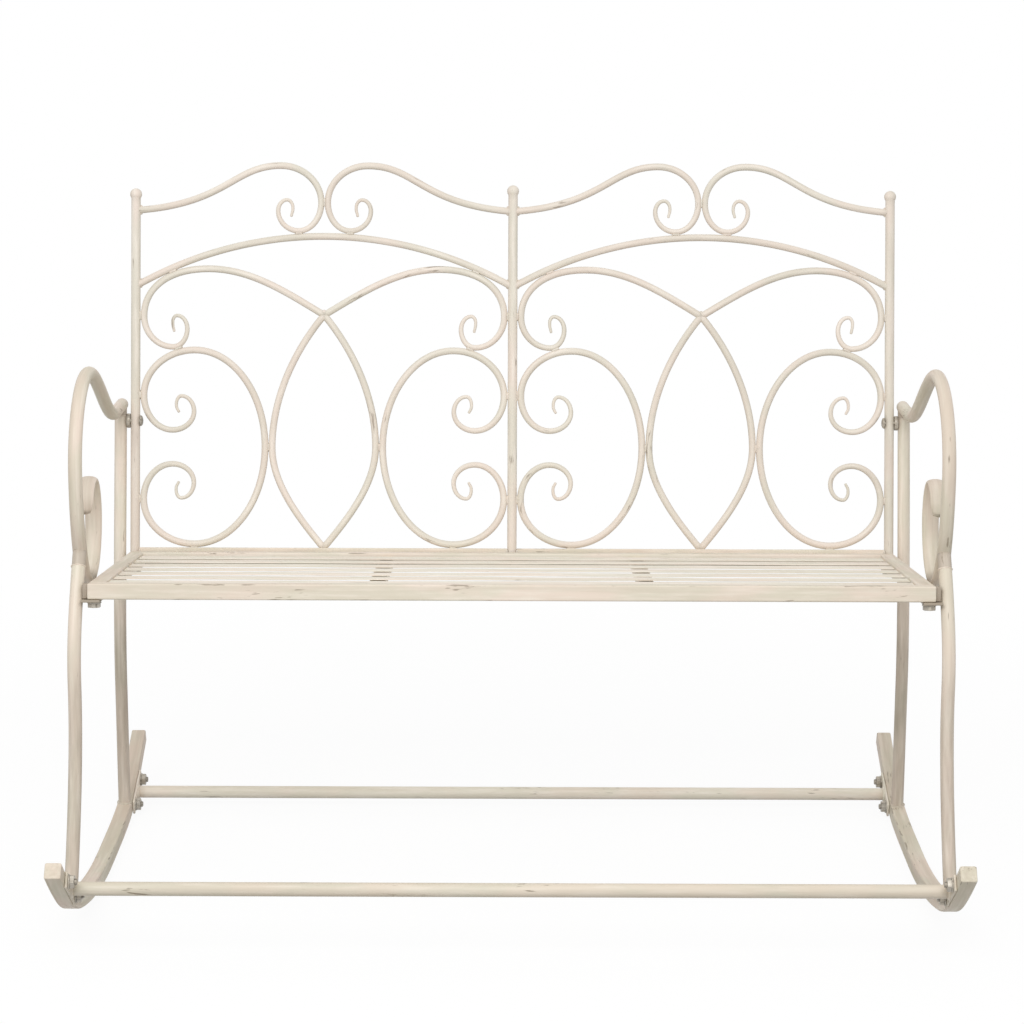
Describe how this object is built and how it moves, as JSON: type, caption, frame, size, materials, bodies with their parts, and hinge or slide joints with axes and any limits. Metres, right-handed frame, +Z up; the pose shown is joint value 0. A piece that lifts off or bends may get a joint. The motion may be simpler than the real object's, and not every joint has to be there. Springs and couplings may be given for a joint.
{
  "type": "rocking bench",
  "caption": "Painted steel garden rocking bench with a slatted seat, a high back of scrolled bars, curled arms and curved rockers.",
  "frame": {"origin": "on the floor, under the middle of the bench's bounding box", "axes": "+X to the right as seen from in front, +Y from the front of the seat to the back, +Z up"},
  "size_m": [1.1034, 0.7708, 0.9045],
  "materials": {
    "cream_paint": "satin cream paint with brushed, rubbed-through wear",
    "zinc": "dulled zinc plating"
  },
  "bodies": {
    "root": {"left_rocker": "cream_paint", "right_rocker": "cream_paint", "left_front_leg": "cream_paint", "right_front_leg": "cream_paint", "left_rear_leg": "cream_paint", "right_rear_leg": "cream_paint", "left_arm": "cream_paint", "right_arm": "cream_paint", "front_stretcher": "cream_paint", "rear_stretcher": "cream_paint", "seat_front_rail": "cream_paint", "seat_rear_rail": "cream_paint", "seat_left_rail": "cream_paint", "seat_right_rail": "cream_paint", "seat_slat_1": "cream_paint", "seat_slat_2": "cream_paint", "seat_slat_3": "cream_paint", "seat_slat_4": "cream_paint", "seat_slat_5": "cream_paint", "seat_slat_6": "cream_paint", "seat_slat_7": "cream_paint", "seat_left_crossbar": "cream_paint", "seat_right_crossbar": "cream_paint", "left_post": "cream_paint", "middle_post": "cream_paint", "right_post": "cream_paint", "left_panel_lower_rail": "cream_paint", "right_panel_lower_rail": "cream_paint", "left_panel_arch": "cream_paint", "right_panel_arch": "cream_paint", "left_panel_left_c_scroll": "cream_paint", "left_panel_right_c_scroll": "cream_paint", "right_panel_left_c_scroll": "cream_paint", "right_panel_right_c_scroll": "cream_paint", "left_panel_left_s_scroll": "cream_paint", "left_panel_right_s_scroll": "cream_paint", "right_panel_left_s_scroll": "cream_paint", "right_panel_right_s_scroll": "cream_paint", "left_panel_left_bow": "cream_paint", "left_panel_right_bow": "cream_paint", "right_panel_left_bow": "cream_paint", "right_panel_right_bow": "cream_paint", "left_panel_left_wave": "cream_paint", "left_panel_right_wave": "cream_paint", "right_panel_left_wave": "cream_paint", "right_panel_right_wave": "cream_paint", "left_front_flange_bolt_1": "zinc", "right_front_flange_bolt_1": "zinc", "left_front_flange_bolt_2": "zinc", "right_front_flange_bolt_2": "zinc", "left_rear_flange_bolt_1": "zinc", "right_rear_flange_bolt_1": "zinc", "left_rear_flange_bolt_2": "zinc", "right_rear_flange_bolt_2": "zinc", "left_back_bolt": "zinc", "right_back_bolt": "zinc", "left_front_seat_bolt": "zinc", "right_front_seat_bolt": "zinc", "left_rear_seat_bolt": "zinc", "right_rear_seat_bolt": "zinc"}
  },
  "joints": []
}
